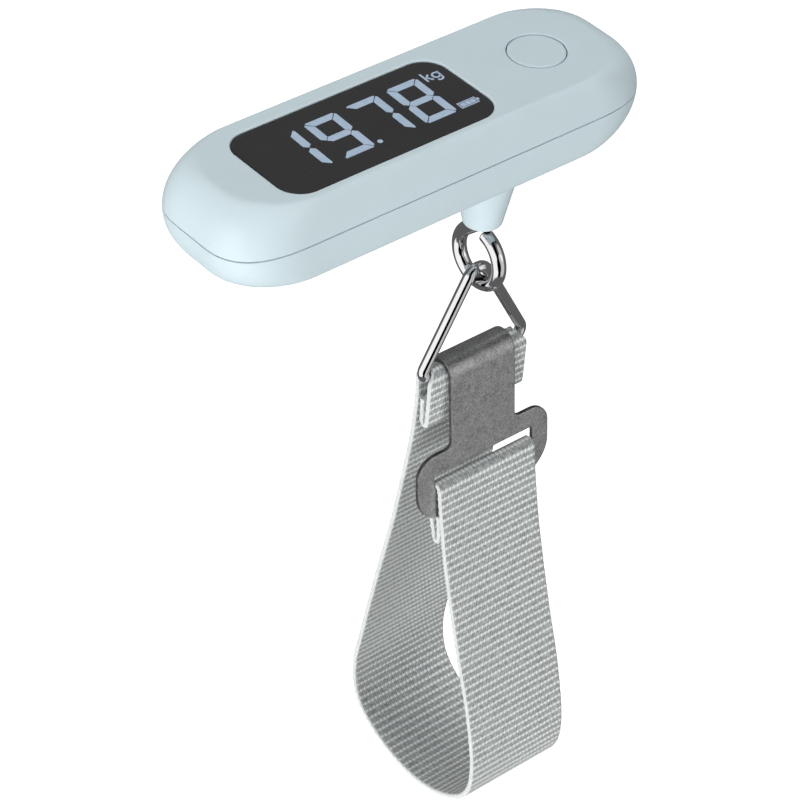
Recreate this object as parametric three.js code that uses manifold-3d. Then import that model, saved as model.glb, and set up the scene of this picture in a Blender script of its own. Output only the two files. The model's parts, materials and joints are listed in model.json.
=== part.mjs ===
// Digital luggage scale: a palm-sized casing with a display and one button, a load cell inside it,
// and under it a swivelling eye, a triangle link, a webbing strap and a hook plate.
// Units are millimetres. +Z is up, +X runs along the casing, and the digits read from -Y.
// The origin is where the hook's swivel axis meets the flat top of the casing.
import * as THREE from 'three';
import { mergeVertices } from 'three/addons/utils/BufferGeometryUtils.js';
import Module from 'manifold-3d';

const wasm = await Module();
wasm.setup();

// ---- driving dimensions -------------------------------------------------------------------
const CASE_X = -20.23;           // middle of the casing, left of the hook's axis
const CASE_HALF_LENGTH = 49.9;
const CASE_HALF_WIDTH = 15.25;
const TOP_HEIGHT = 8.92;         // flat top down to the parting line
const BOTTOM_HEIGHT = 8.62;      // parting line down to the flat underside
const CASE_DEPTH = TOP_HEIGHT + BOTTOM_HEIGHT;
const WALL = 1.6;
const PARTING_GAP = 0.16;

const PARTING = { length: 49.9, width: 15.25, cornerX: 17.05, cornerY: 11.89, power: 2.74 };
const FLAT_TOP = { length: 43.75, width: 13.31, cornerX: 11.99, cornerY: 11.64, power: 1.8 };
const UNDERSIDE = { length: 44.63, width: 13.71, cornerX: 13.0, cornerY: 13.71, power: 1.94 };

const WINDOW = { x: -31.52, y: -0.88, length: 48.8, width: 22.0, radius: 5.0, thickness: 1.0, sink: 0.25 };
const BUTTON = { x: 10.45, y: -0.6, radius: 5.7, gap: 0.16, travel: 0.6 };

const STEM_X = 0.25;
const STEM_RIM_Z = -35.64;
const STEM_RIM_RADIUS = 4.0;
const STEM_SLOPE = 0.205;
const SHANK_RADIUS = 1.5;

const EYE_Z = -43.9;             // centre of the eye's ring
const EYE_RADIUS = 6.0;          // of the wire's centreline
const EYE_OPEN_ANGLE = 12;       // degrees from the top of the ring to its free end, in front
const EYE_NECK_ANGLE = 42;       // degrees from the top of the ring to where the neck leaves it

const LINK_APEX_Z = -43.95;      // where the legs' centrelines would meet
const BAR_Z = -69.41;            // centre of the link's base bar
const LINK_HALF_WIDTH = 14.22;
const LINK_WIRE = 1.2;

const PLATE_THICKNESS = 1.05;
const PLATE_NECK = 8.4;          // half width
const PLATE_LOBE = 17.35;        // half width
const PLATE_TILT = 0.098;        // the plate leans forward by this much per millimetre down
const PLATE_CURL = 3.65;         // outer radius of the hooked top

const STRAP_HALF_WIDTH = 12.5;
const STRAP_THICKNESS = 1.2;

const CELL = { left: -36, right: 5, half: 4.2, top: -8.0, bottom: -14.0 };
const BOARD_TOP = -5.2;
const BOARD_THICKNESS = 1.0;
const COIN = { x: -49.5, radius: 10.0, top: -12.6, bottom: -15.8 };
const CAP_RADIUS = 11.4;
const CASE_SCREWS = [[-62.5, 6.0], [-62.5, -6.0], [19.5, 6.5], [19.5, -6.5]];
const CELL_SCREWS = [-32.5, -26.5];

// ---- materials ----------------------------------------------------------------------------
const LOOKS = {
  case_plastic: [0xbfd6dc, 0.0, 0.45],
  window_plastic: [0x303234, 0.0, 0.15],
  lcd_glass: [0x8d9bb8, 0.0, 0.2],
  light_panel: [0xf0f2f4, 0.0, 0.5],
  board: [0x2f6b3c, 0.0, 0.6],
  black_plastic: [0x202022, 0.0, 0.5],
  dark_rubber: [0x1c1c1e, 0.0, 0.8],
  chrome: [0xd8dade, 1.0, 0.08],
  satin_steel: [0x8c8d8e, 1.0, 0.5],
  zinc_steel: [0xb8bcc0, 1.0, 0.35],
  aluminium: [0xc8ccd0, 1.0, 0.4],
  brass: [0xc9a25a, 1.0, 0.35],
  gauge_foil: [0xc98a4a, 0.2, 0.5],
  webbing: [0xaab0b0, 0.0, 0.9],
};

function material(look) {
  const [color, metalness, roughness] = LOOKS[look];
  return new THREE.MeshStandardMaterial({ color, metalness, roughness, name: look });
}

// ---- solids -------------------------------------------------------------------------------
function solid(geometry) {
  let plain = geometry.clone();
  plain.deleteAttribute('normal');
  plain.deleteAttribute('uv');
  plain = mergeVertices(plain, 1e-5);
  return new wasm.Manifold(new wasm.Mesh({
    numProp: 3,
    vertProperties: new Float32Array(plain.attributes.position.array),
    triVerts: new Uint32Array(plain.index.array),
  }));
}

function meshFrom(name, look, body) {
  const data = body.getMesh();
  const geometry = new THREE.BufferGeometry();
  geometry.setAttribute('position', new THREE.BufferAttribute(new Float32Array(data.vertProperties), 3));
  geometry.setIndex(new THREE.BufferAttribute(new Uint32Array(data.triVerts), 1));
  geometry.computeVertexNormals();
  const mesh = new THREE.Mesh(geometry, material(look));
  mesh.name = name;
  return mesh;
}

function box(x0, x1, y0, y1, z0, z1) {
  const geometry = new THREE.BoxGeometry(x1 - x0, y1 - y0, z1 - z0);
  geometry.translate((x0 + x1) / 2, (y0 + y1) / 2, (z0 + z1) / 2);
  return solid(geometry);
}

// A solid of revolution about the vertical axis through (x, y); profile is [radius, z] from the axis
// at the bottom, round the outside, back to the axis at the top.
function turned(x, y, profile, segments = 32) {
  const points = profile.map(([radius, z]) => new THREE.Vector2(radius, z));
  const geometry = new THREE.LatheGeometry(points, segments);
  geometry.rotateX(Math.PI / 2);
  geometry.translate(x, y, 0);
  return solid(geometry);
}

function disc(x, y, radius, z0, z1, segments = 32) {
  return turned(x, y, [[0, z0], [radius, z0], [radius, z1], [0, z1]], segments);
}

function roundedRectangle(x, y, length, width, radius) {
  const shape = new THREE.Shape();
  const [a, b] = [length / 2 - radius, width / 2 - radius];
  shape.absarc(x + a, y + b, radius, 0, Math.PI / 2);
  shape.absarc(x - a, y + b, radius, Math.PI / 2, Math.PI);
  shape.absarc(x - a, y - b, radius, Math.PI, 1.5 * Math.PI);
  shape.absarc(x + a, y - b, radius, 1.5 * Math.PI, 2 * Math.PI);
  return shape;
}

function plate(shape, z0, z1, curveSegments = 8) {
  const geometry = new THREE.ExtrudeGeometry(shape, { depth: z1 - z0, bevelEnabled: false, curveSegments });
  geometry.translate(0, 0, z0);
  return solid(geometry);
}

// Round wire of the given radius along a curve, with flat ends unless the curve is closed.
function wire(curve, radius, steps, sides = 12) {
  const section = new THREE.Shape();
  section.absarc(0, 0, radius, 0, 2 * Math.PI);
  return solid(new THREE.ExtrudeGeometry(section, {
    steps, extrudePath: curve, bevelEnabled: false, curveSegments: sides / 2,
  }));
}

// ---- the casing's rounded shape --------------------------------------------------------------
// A rounded outline: straight sides and superelliptic corners, counter-clockwise, with `count`
// points on each corner.
function outline({ length, width, cornerX, cornerY, power }, inset = 0, count = 11) {
  const corner = [];
  for (let i = 0; i < count; i += 1) {
    const angle = (i / (count - 1)) * (Math.PI / 2);
    const across = Math.max(0, Math.cos(angle)) ** (2 / power);
    const along = Math.max(0, Math.sin(angle)) ** (2 / power);
    corner.push([
      length - inset - (cornerX - inset) * (1 - across),
      width - inset - (cornerY - inset) * (1 - along),
    ]);
  }
  const back = [...corner].reverse();
  const points = [
    ...corner,
    ...back.map(([x, y]) => [-x, y]),
    ...corner.map(([x, y]) => [-x, -y]),
    ...back.map(([x, y]) => [x, -y]),
  ];
  return points.filter(([x, y], i) => {
    const [px, py] = points[(i + points.length - 1) % points.length];
    return Math.hypot(x - px, y - py) > 1e-4;
  });
}

function blend(first, second, share) {
  return first.map(([x, y], i) => [x + (second[i][0] - x) * share, y + (second[i][1] - y) * share]);
}

// Skins a stack of rings of equal length, each {points, z}, from the top ring to the bottom one.
function skinned(rings) {
  const count = rings[0].points.length;
  const position = [];
  const index = [];
  rings.forEach(({ points, z }) => points.forEach(([x, y]) => position.push(x + CASE_X, y, z)));
  const top = position.length / 3;
  position.push(CASE_X, 0, rings[0].z);
  position.push(CASE_X, 0, rings[rings.length - 1].z);
  const last = (rings.length - 1) * count;
  for (let i = 0; i < count; i += 1) {
    const next = (i + 1) % count;
    index.push(top, i, next);
    index.push(top + 1, last + next, last + i);
    for (let r = 0; r + 1 < rings.length; r += 1) {
      const [a, b] = [r * count + i, r * count + next];
      index.push(a, a + count, b, b, a + count, b + count);
    }
  }
  const geometry = new THREE.BufferGeometry();
  geometry.setAttribute('position', new THREE.Float32BufferAttribute(position, 3));
  geometry.setIndex(index);
  return solid(geometry);
}

// The half above the parting line, or its cavity when `wall` is the wall's thickness.
function topHalf(wall = 0) {
  const rings = [];
  const steps = 7;
  for (let i = 0; i <= steps; i += 1) {
    const angle = (i / steps) * (Math.PI / 2);
    rings.push({
      points: blend(outline(FLAT_TOP, wall), outline(PARTING, wall), Math.sin(angle)),
      z: -wall - (TOP_HEIGHT - wall) * (1 - Math.cos(angle)),
    });
  }
  return skinned(rings);
}

function bottomHalf(wall = 0) {
  const rings = [];
  const steps = 7;
  for (let i = steps; i >= 0; i -= 1) {
    const angle = (i / steps) * (Math.PI / 2);
    rings.push({
      points: blend(outline(UNDERSIDE, wall), outline(PARTING, wall), Math.sin(angle)),
      z: -TOP_HEIGHT - (BOTTOM_HEIGHT - wall) * Math.cos(angle),
    });
  }
  return skinned(rings);
}

// ---- casing parts --------------------------------------------------------------------------
function upperShell() {
  const { x, y, length, width, radius, thickness, sink } = WINDOW;
  let body = topHalf().subtract(topHalf(WALL));
  const deck = roundedRectangle(x, y, length - 2.4, width - 2.4, radius - 1.2);
  const recess = roundedRectangle(x, y, length + 0.3, width + 0.3, radius + 0.15);
  body = body.subtract(plate(deck, -3, 1));
  body = body.subtract(plate(recess, -sink - thickness - 0.1, 1));
  body = body.subtract(disc(BUTTON.x, BUTTON.y, BUTTON.radius + BUTTON.gap, -3, 1, 48));
  for (const [sx, sy] of CASE_SCREWS) {
    body = body.add(disc(sx, sy, 2.2, -8.6, -1.2, 20));
    body = body.subtract(disc(sx, sy, 1.25, -9, -4.4, 16));
  }
  return body.subtract(box(-80, 40, -20, 20, -TOP_HEIGHT - 1, -TOP_HEIGHT + PARTING_GAP / 2));
}

function lowerShell() {
  let body = bottomHalf().subtract(bottomHalf(WALL));
  body = body.subtract(disc(STEM_X, 0, 6.4, -CASE_DEPTH - 1, -CASE_DEPTH + WALL + 1));
  body = body.subtract(disc(COIN.x, 0, CAP_RADIUS + 0.2, -CASE_DEPTH - 1, -CASE_DEPTH + WALL + 0.5, 48));
  body = body.add(disc(COIN.x, 0, CAP_RADIUS + 1.0, -CASE_DEPTH + 1.2, -11.6, 48));
  body = body.subtract(disc(COIN.x, 0, COIN.radius + 0.4, -CASE_DEPTH - 1, -11, 48));
  body = body.subtract(disc(COIN.x, 0, CAP_RADIUS + 0.2, -CASE_DEPTH - 1, -CASE_DEPTH + 1.6, 48));
  for (const [sx, sy] of CASE_SCREWS) {
    body = body.add(disc(sx, sy, 2.5, -CASE_DEPTH + 0.8, -TOP_HEIGHT - 0.3, 20));
    body = body.subtract(disc(sx, sy, 1.3, -CASE_DEPTH - 1, 0, 16));
    body = body.subtract(disc(sx, sy, 2.1, -CASE_DEPTH - 1, -CASE_DEPTH + 1.4, 20));
  }
  for (const sx of CELL_SCREWS) {
    body = body.subtract(disc(sx, 0, 1.4, -CASE_DEPTH - 1, 0, 16));
    body = body.subtract(disc(sx, 0, 2.6, -CASE_DEPTH - 1, -CASE_DEPTH + 1.0, 20));
  }
  return body.subtract(box(-80, 40, -20, 20, -TOP_HEIGHT - PARTING_GAP / 2, 5))
    .subtract(box(-80, 40, -20, 20, -CASE_DEPTH - 2, -CASE_DEPTH));
}

// The conical stem: a sleeve with a flange that sits on the casing's floor.
function stemSleeve() {
  const root = STEM_RIM_RADIUS + STEM_SLOPE * (-CASE_DEPTH - STEM_RIM_Z);
  const floor = -CASE_DEPTH + WALL;
  return turned(STEM_X, 0, [
    [3.0, STEM_RIM_Z + 3.0],
    [2.6, STEM_RIM_Z],
    [STEM_RIM_RADIUS - 0.4, STEM_RIM_Z],
    [STEM_RIM_RADIUS, STEM_RIM_Z + 0.4],
    [root, -CASE_DEPTH - 0.15],
    [6.2, -CASE_DEPTH - 0.15],
    [6.2, floor + 0.15],
    [8.6, floor + 0.15],
    [8.6, floor + 1.15],
    [4.4, floor + 1.15],
    [4.2, -CASE_DEPTH],
    [3.0, STEM_RIM_Z + 3.0],
  ], 40);
}

function displayWindow() {
  const { x, y, length, width, radius, thickness, sink } = WINDOW;
  return plate(roundedRectangle(x, y, length, width, radius), -sink - thickness, -sink);
}

function powerButton() {
  const { x, y, radius } = BUTTON;
  return turned(x, y, [
    [0, -2.65], [1.8, -2.65], [1.8, -2.4], [radius + 0.8, -2.4], [radius + 0.8, -1.85],
    [radius, -1.85], [radius, -0.12], [radius - 0.12, 0], [0, 0],
  ], 48);
}

function buttonSwitch() {
  const { x, y } = BUTTON;
  const housing = box(x - 3, x + 3, y - 3, y + 3, BOARD_TOP + 0.05, -3.75);
  return housing.subtract(disc(x, y, 1.75, -4.8, -3));
}

function switchPlunger() {
  return disc(BUTTON.x, BUTTON.y, 1.6, -4.1, -2.7, 24);
}

// ---- display stack and board ----------------------------------------------------------------
function displayStack() {
  const { x, y } = WINDOW;
  return {
    lcd_glass: plate(roundedRectangle(x, y, 45, 19.2, 0.6), -3.2, -1.6, 2),
    light_panel: box(x - 21.5, x + 21.5, y - 6.6, y + 6.6, -4.6, -3.3),
    zebra_strip_front: box(x - 21.5, x + 21.5, y - 8.8, y - 7.0, BOARD_TOP + 0.05, -3.25),
    zebra_strip_back: box(x - 21.5, x + 21.5, y + 7.0, y + 8.8, BOARD_TOP + 0.05, -3.25),
  };
}

function circuitBoard() {
  let body = plate(roundedRectangle(-22, -0.5, 74, 20, 2), BOARD_TOP - BOARD_THICKNESS, BOARD_TOP, 3);
  body = body.subtract(disc(0, 0, 4.8, -8, -4));
  return body;
}

function controllerChip() {
  return box(-34, -27, -3.5, 3.5, BOARD_TOP - BOARD_THICKNESS - 1.3, BOARD_TOP - BOARD_THICKNESS - 0.05);
}

// ---- load cell -------------------------------------------------------------------------------
// A bending beam: one end is screwed to the casing and the other carries the hook. Two joined
// holes across its middle let it bend.
function loadCell() {
  const { left, right, half, top, bottom } = CELL;
  const middle = (top + bottom) / 2;
  let body = box(left, right, -half, half, bottom, top);
  const slot = new THREE.Shape();
  slot.absarc(-18, middle, 2.1, Math.PI / 2, 1.5 * Math.PI);
  slot.absarc(-11, middle, 2.1, -Math.PI / 2, Math.PI / 2);
  const cutter = new THREE.ExtrudeGeometry(slot, { depth: 12, bevelEnabled: false, curveSegments: 8 });
  cutter.rotateX(Math.PI / 2);
  cutter.translate(0, 6, 0);
  body = body.subtract(solid(cutter));
  body = body.subtract(disc(0, 0, SHANK_RADIUS + 0.3, bottom - 1, top + 1));
  for (const x of CELL_SCREWS) {
    body = body.subtract(disc(x, 0, 1.4, bottom - 1, top - 1.2, 16));
  }
  return body;
}

function cellScrew(x) {
  return turned(x, 0, [
    [0, -17.3], [2.3, -17.3], [2.3, -16.65], [1.1, -16.65], [1.1, -10.4], [0, -10.4],
  ], 20);
}

function caseScrew(x, y) {
  return turned(x, y, [
    [0, -17.2], [1.8, -17.2], [1.8, -16.3], [1.0, -16.3], [1.0, -5.4], [0, -5.4],
  ], 16);
}

function cellSpacer() {
  let body = box(CELL.left, -23, -4.2, 4.2, -15.85, CELL.bottom - 0.1);
  for (const x of CELL_SCREWS) {
    body = body.subtract(disc(x, 0, 1.4, -17, -13, 16));
  }
  return body;
}

// Two flat leads from the gauge on top of the cell up to the board.
function gaugeCable() {
  const path = new THREE.CatmullRomCurve3([
    new THREE.Vector3(-19.5, 2.4, -7.3),
    new THREE.Vector3(-22, 3.4, -7.25),
    new THREE.Vector3(-24.5, 5.2, -7.1),
    new THREE.Vector3(-25.5, 7.2, -6.75),
  ]);
  return wire(path, 0.35, 10, 8);
}

// ---- hook ------------------------------------------------------------------------------------
// A point of the ring's centreline, `degrees` away from its top towards the back.
function onRing(degrees) {
  const angle = THREE.MathUtils.degToRad(degrees);
  return new THREE.Vector3(0, EYE_RADIUS * Math.sin(angle), EYE_Z + EYE_RADIUS * Math.cos(angle));
}

class RingArc extends THREE.Curve {
  getPoint(t, target = new THREE.Vector3()) {
    const sweep = 360 - EYE_OPEN_ANGLE - EYE_NECK_ANGLE;
    return target.copy(onRing(EYE_NECK_ANGLE + t * sweep));
  }
}

// The neck leaves the ring along its tangent and bends upright into the shank.
function eyeNeck() {
  const start = onRing(EYE_NECK_ANGLE);
  const slope = Math.tan(THREE.MathUtils.degToRad(EYE_NECK_ANGLE));
  const corner = new THREE.Vector3(0, 0, start.z + start.y * slope);
  const bendStart = start.clone().lerp(corner, 0.4);
  const below = start.clone().lerp(corner, -0.12);
  const top = corner.clone().setZ(corner.z + 2.4);
  const path = new THREE.CurvePath();
  path.add(new THREE.LineCurve3(below, bendStart));
  path.add(new THREE.QuadraticBezierCurve3(bendStart, corner, top));
  path.add(new THREE.LineCurve3(top, top.clone().setZ(top.z + 1)));
  return wire(path, SHANK_RADIUS, 16, 16);
}

function eyeHook() {
  const ring = wire(new RingArc(), SHANK_RADIUS, 48, 16);
  const shank = disc(0, 0, SHANK_RADIUS, -33.6, -4.4, 16);
  return ring.add(eyeNeck()).add(shank);
}

function shankNut() {
  return disc(0, 0, 3.2, -7.0, -4.9, 6).subtract(disc(0, 0, SHANK_RADIUS + 0.3, -8, -4));
}

function shankWasher() {
  return disc(0, 0, 3.6, -7.75, -7.15, 24).subtract(disc(0, 0, SHANK_RADIUS + 0.3, -8, -7));
}

function swivelBush() {
  const bore = SHANK_RADIUS + 0.5;
  return turned(STEM_X, 0, [
    [bore, -34.9], [2.45, -34.9], [2.65, -32.9], [2.85, -28.0], [bore, -28.0], [bore, -34.9],
  ], 24);
}

// ---- triangle link -----------------------------------------------------------------------------
// Closed path of the link's wire: an isosceles triangle in the XZ plane with rounded corners.
function linkPath() {
  const corners = [[0, LINK_APEX_Z, 2.64], [LINK_HALF_WIDTH, BAR_Z, 2.1], [-LINK_HALF_WIDTH, BAR_Z, 2.1]];
  const points = [];
  corners.forEach(([x, z, radius], i) => {
    const before = corners[(i + 2) % 3];
    const after = corners[(i + 1) % 3];
    const a = new THREE.Vector2(before[0] - x, before[1] - z).normalize();
    const b = new THREE.Vector2(after[0] - x, after[1] - z).normalize();
    const half = Math.acos(a.dot(b)) / 2;
    const middle = a.clone().add(b).normalize();
    const centre = new THREE.Vector2(x, z).addScaledVector(middle, radius / Math.sin(half));
    const start = Math.atan2(z + a.y * (radius / Math.tan(half)) - centre.y,
      x + a.x * (radius / Math.tan(half)) - centre.x);
    const turn = Math.PI - 2 * half;
    for (let k = 0; k <= 8; k += 1) {
      const angle = start - turn * (k / 8);
      points.push(new THREE.Vector3(
        centre.x + radius * Math.cos(angle), 0, centre.y + radius * Math.sin(angle)));
    }
  });
  return points;
}

// Sweeps a round section along a closed flat path in the XZ plane.
function closedWire(points, radius, sides = 14) {
  const count = points.length;
  const position = [];
  const index = [];
  points.forEach((point, i) => {
    const before = points[(i + count - 1) % count];
    const after = points[(i + 1) % count];
    const along = after.clone().sub(before).normalize();
    const out = new THREE.Vector3(along.z, 0, -along.x);
    for (let k = 0; k < sides; k += 1) {
      const angle = (k / sides) * 2 * Math.PI;
      const spot = point.clone().addScaledVector(out, radius * Math.cos(angle));
      position.push(spot.x, radius * Math.sin(angle), spot.z);
    }
  });
  for (let i = 0; i < count; i += 1) {
    for (let k = 0; k < sides; k += 1) {
      const [a, b] = [i * sides + k, i * sides + ((k + 1) % sides)];
      const [c, d] = [((i + 1) % count) * sides + k, ((i + 1) % count) * sides + ((k + 1) % sides)];
      index.push(a, c, b, b, c, d);
    }
  }
  const geometry = new THREE.BufferGeometry();
  geometry.setAttribute('position', new THREE.Float32BufferAttribute(position, 3));
  geometry.setIndex(index);
  const body = solid(geometry);
  if (body.volume() > 0) {
    return body;
  }
  const turnedRound = [];
  for (let i = 0; i < index.length; i += 3) {
    turnedRound.push(index[i], index[i + 2], index[i + 1]);
  }
  geometry.setIndex(turnedRound);
  return solid(geometry);
}

function triangleLink() {
  return closedWire(linkPath(), LINK_WIRE);
}

// ---- side profiles in the YZ plane -------------------------------------------------------------
// Extrudes a closed [y, z] outline along X between -half and +half.
function sideways(points, half) {
  const shape = new THREE.Shape(points.map(([y, z]) => new THREE.Vector2(y, z)));
  const geometry = new THREE.ExtrudeGeometry(shape, { depth: 2 * half, bevelEnabled: false });
  geometry.applyMatrix4(new THREE.Matrix4().set(
    0, 0, 1, -half,
    1, 0, 0, 0,
    0, 1, 0, 0,
    0, 0, 0, 1));
  return solid(geometry);
}

// A band of even thickness about a [y, z] centreline.
function band(centreline, thickness, half) {
  const left = [];
  const right = [];
  centreline.forEach(([y, z], i) => {
    const before = centreline[Math.max(0, i - 1)];
    const after = centreline[Math.min(centreline.length - 1, i + 1)];
    const length = Math.hypot(after[0] - before[0], after[1] - before[1]);
    const ny = -(after[1] - before[1]) / length;
    const nz = (after[0] - before[0]) / length;
    left.push([y + (ny * thickness) / 2, z + (nz * thickness) / 2]);
    right.push([y - (ny * thickness) / 2, z - (nz * thickness) / 2]);
  });
  return sideways([...left, ...right.reverse()], half);
}

function arc(y, z, radius, fromDegrees, toDegrees, steps) {
  const points = [];
  for (let i = 0; i <= steps; i += 1) {
    const angle = THREE.MathUtils.degToRad(fromDegrees + ((toDegrees - fromDegrees) * i) / steps);
    points.push([y + radius * Math.cos(angle), z + radius * Math.sin(angle)]);
  }
  return points;
}

// ---- hook plate --------------------------------------------------------------------------------
function plateFrontY(z) {
  return -PLATE_CURL + PLATE_TILT * (z - BAR_Z);
}

function hookPlate() {
  const radius = PLATE_CURL - PLATE_THICKNESS / 2;
  const foot = -101.7;
  const centreline = [
    [radius - 0.1, BAR_Z - 2.6],
    ...arc(0, BAR_Z, radius, 0, 186, 14),
    [plateFrontY(foot) + PLATE_THICKNESS / 2, foot],
  ];
  let body = band(centreline, PLATE_THICKNESS, PLATE_LOBE + 1);
  const face = new THREE.Shape();
  face.moveTo(-PLATE_NECK, -60);
  face.lineTo(-PLATE_NECK, -84.0);
  face.absarc(-PLATE_NECK - 1.5, -84.0, 1.5, 0, -Math.PI / 2, true);
  face.absarc(-12.75, -90.1, 4.6, Math.PI / 2, Math.PI);
  face.absarc(-9.85, -94.2, 7.5, Math.PI, 1.5 * Math.PI);
  face.absarc(9.85, -94.2, 7.5, -Math.PI / 2, 0);
  face.absarc(12.75, -90.1, 4.6, 0, Math.PI / 2);
  face.absarc(PLATE_NECK + 1.5, -84.0, 1.5, -Math.PI / 2, -Math.PI, true);
  face.lineTo(PLATE_NECK, -60);
  face.closePath();
  face.holes.push(roundedRectangle(0, -91.75, 26.1, 3.3, 0.6));
  const cutter = new THREE.ExtrudeGeometry(face, { depth: 30, bevelEnabled: false, curveSegments: 7 });
  cutter.rotateX(Math.PI / 2);
  cutter.translate(0, 15, 0);
  return body.intersect(solid(cutter));
}

// ---- strap -------------------------------------------------------------------------------------
// Side view of the strap's middle line: over the link's bar, down the back, round the loop, up the
// front, over the plate's lower bar and down behind it.
function strapLine() {
  const overBar = arc(0, BAR_Z, 1.87, 180, 0, 12);
  const overSlot = arc(-5.5, -93.8, 1.4, 185, 0, 10);
  const loop = new THREE.SplineCurve([
    [1.75, -75], [2.6, -84.9], [4.6, -97.2], [7.3, -112], [11.3, -130], [15.2, -148.8],
    [17.35, -161.5], [15.2, -170.6], [7.4, -176.2], [-3.2, -178.4], [-13.2, -176.2],
    [-20.8, -170.2], [-22.7, -161.0], [-20.0, -146.5], [-15.3, -131.2], [-10.5, -113.5],
    [-8.4, -103.5],
  ].map(([y, z]) => new THREE.Vector2(y, z)));
  const points = loop.getPoints(56).map((point) => [point.x, point.y]);
  return [[-1.75, -74.5], ...overBar, ...points, ...overSlot, [-4.45, -98], [-4.95, -102.4]];
}

// The turned-under ends are sewn flat against the run beside them.
function strap() {
  let body = band(strapLine(), STRAP_THICKNESS, STRAP_HALF_WIDTH);
  const upperHem = [
    [-2.25, -73.6], [-2.2, -79.6], [-1.6, -80.7], [-0.6, -81.0], [1.6, -80.4], [1.45, -74.6], [0.2, -73.2],
  ];
  const lowerHem = [
    [-8.5, -103.2], [-8.9, -106.6], [-7.6, -107.8], [-6.4, -107.9], [-5.7, -107.2], [-4.7, -102.2], [-5.7, -102.3],
  ];
  body = body.add(sideways(upperHem, STRAP_HALF_WIDTH));
  body = body.add(sideways(lowerHem, STRAP_HALF_WIDTH));
  for (const side of [-1, 1]) {
    const [inner, outer] = [side * 9.7, side * 13];
    body = body.subtract(box(Math.min(inner, outer), Math.max(inner, outer), -4, 4, -71.0, -60));
  }
  return body;
}

// ---- battery -----------------------------------------------------------------------------------
function coinCell() {
  return turned(COIN.x, 0, [
    [0, COIN.bottom], [COIN.radius - 0.3, COIN.bottom], [COIN.radius, COIN.bottom + 0.3],
    [COIN.radius, COIN.top - 0.9], [COIN.radius - 1.2, COIN.top - 0.8], [COIN.radius - 1.2, COIN.top],
    [0, COIN.top],
  ], 40);
}

function batteryCap() {
  const low = -CASE_DEPTH;
  let body = disc(COIN.x, 0, CAP_RADIUS, low, low + 1.4, 48);
  const slot = roundedRectangle(COIN.x, 0, 13, 1.8, 0.85);
  return body.subtract(plate(slot, low - 1, low + 0.8, 4));
}

function contactTop() {
  const x = COIN.x;
  return box(x - 4, x + 4, -2.5, 2.5, COIN.top + 0.1, COIN.top + 0.4)
    .add(box(x - 1.5, x + 1.5, -2.5, 2.5, COIN.top + 0.1, BOARD_TOP - BOARD_THICKNESS - 0.1));
}

function contactSide() {
  const x = COIN.x + COIN.radius + 1.9;
  return box(x, x + 0.4, -3, 3, -11.2, BOARD_TOP - BOARD_THICKNESS - 0.1)
    .add(box(x - 3.4, x + 0.4, -3, 3, -11.5, -11.1));
}

// ---- assembly ----------------------------------------------------------------------------------
const parts = {
  upper_shell: ['case_plastic', upperShell()],
  lower_shell: ['case_plastic', lowerShell()],
  stem_sleeve: ['case_plastic', stemSleeve()],
  display_window: ['window_plastic', displayWindow()],
  power_button: ['case_plastic', powerButton()],
  button_switch: ['black_plastic', buttonSwitch()],
  switch_plunger: ['dark_rubber', switchPlunger()],
  circuit_board: ['board', circuitBoard()],
  controller_chip: ['black_plastic', controllerChip()],
  load_cell: ['aluminium', loadCell()],
  cell_spacer: ['aluminium', cellSpacer()],
  gauge_upper: ['gauge_foil', box(-19.5, -9.5, -3, 3, CELL.top + 0.05, CELL.top + 0.25)],
  gauge_lower: ['gauge_foil', box(-19.5, -9.5, -3, 3, CELL.bottom - 0.25, CELL.bottom - 0.05)],
  gauge_cable: ['dark_rubber', gaugeCable()],
  eye_hook: ['chrome', eyeHook()],
  shank_nut: ['zinc_steel', shankNut()],
  shank_washer: ['zinc_steel', shankWasher()],
  swivel_bush: ['black_plastic', swivelBush()],
  triangle_link: ['chrome', triangleLink()],
  strap: ['webbing', strap()],
  hook_plate: ['satin_steel', hookPlate()],
  coin_cell: ['zinc_steel', coinCell()],
  battery_cap: ['case_plastic', batteryCap()],
  contact_top: ['brass', contactTop()],
  contact_side: ['brass', contactSide()],
};

const stack = displayStack();
parts.lcd_glass = ['lcd_glass', stack.lcd_glass];
parts.light_panel = ['light_panel', stack.light_panel];
parts.zebra_strip_front = ['dark_rubber', stack.zebra_strip_front];
parts.zebra_strip_back = ['dark_rubber', stack.zebra_strip_back];
CELL_SCREWS.forEach((x, i) => {
  parts[`cell_screw_${i + 1}`] = ['zinc_steel', cellScrew(x)];
});
CASE_SCREWS.forEach(([x, y], i) => {
  parts[`case_screw_${i + 1}`] = ['zinc_steel', caseScrew(x, y)];
});

const scale = new THREE.Group();
scale.name = 'digital_luggage_scale';
for (const [name, [look, body]] of Object.entries(parts)) {
  scale.add(meshFrom(name, look, body));
}

export default scale;
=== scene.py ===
"""A digital luggage scale in Blender: smooth casing, display, chrome eye and link, steel plate, webbing.

Lengths are millimetres until a mesh is made, then metres. The frame is the CAD row frame: +Z up,
+X along the casing, origin where the hook's swivel axis meets the flat top.
"""
import json
import math

import bmesh
import bpy
import numpy as np
from mathutils import Matrix, Vector


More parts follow.
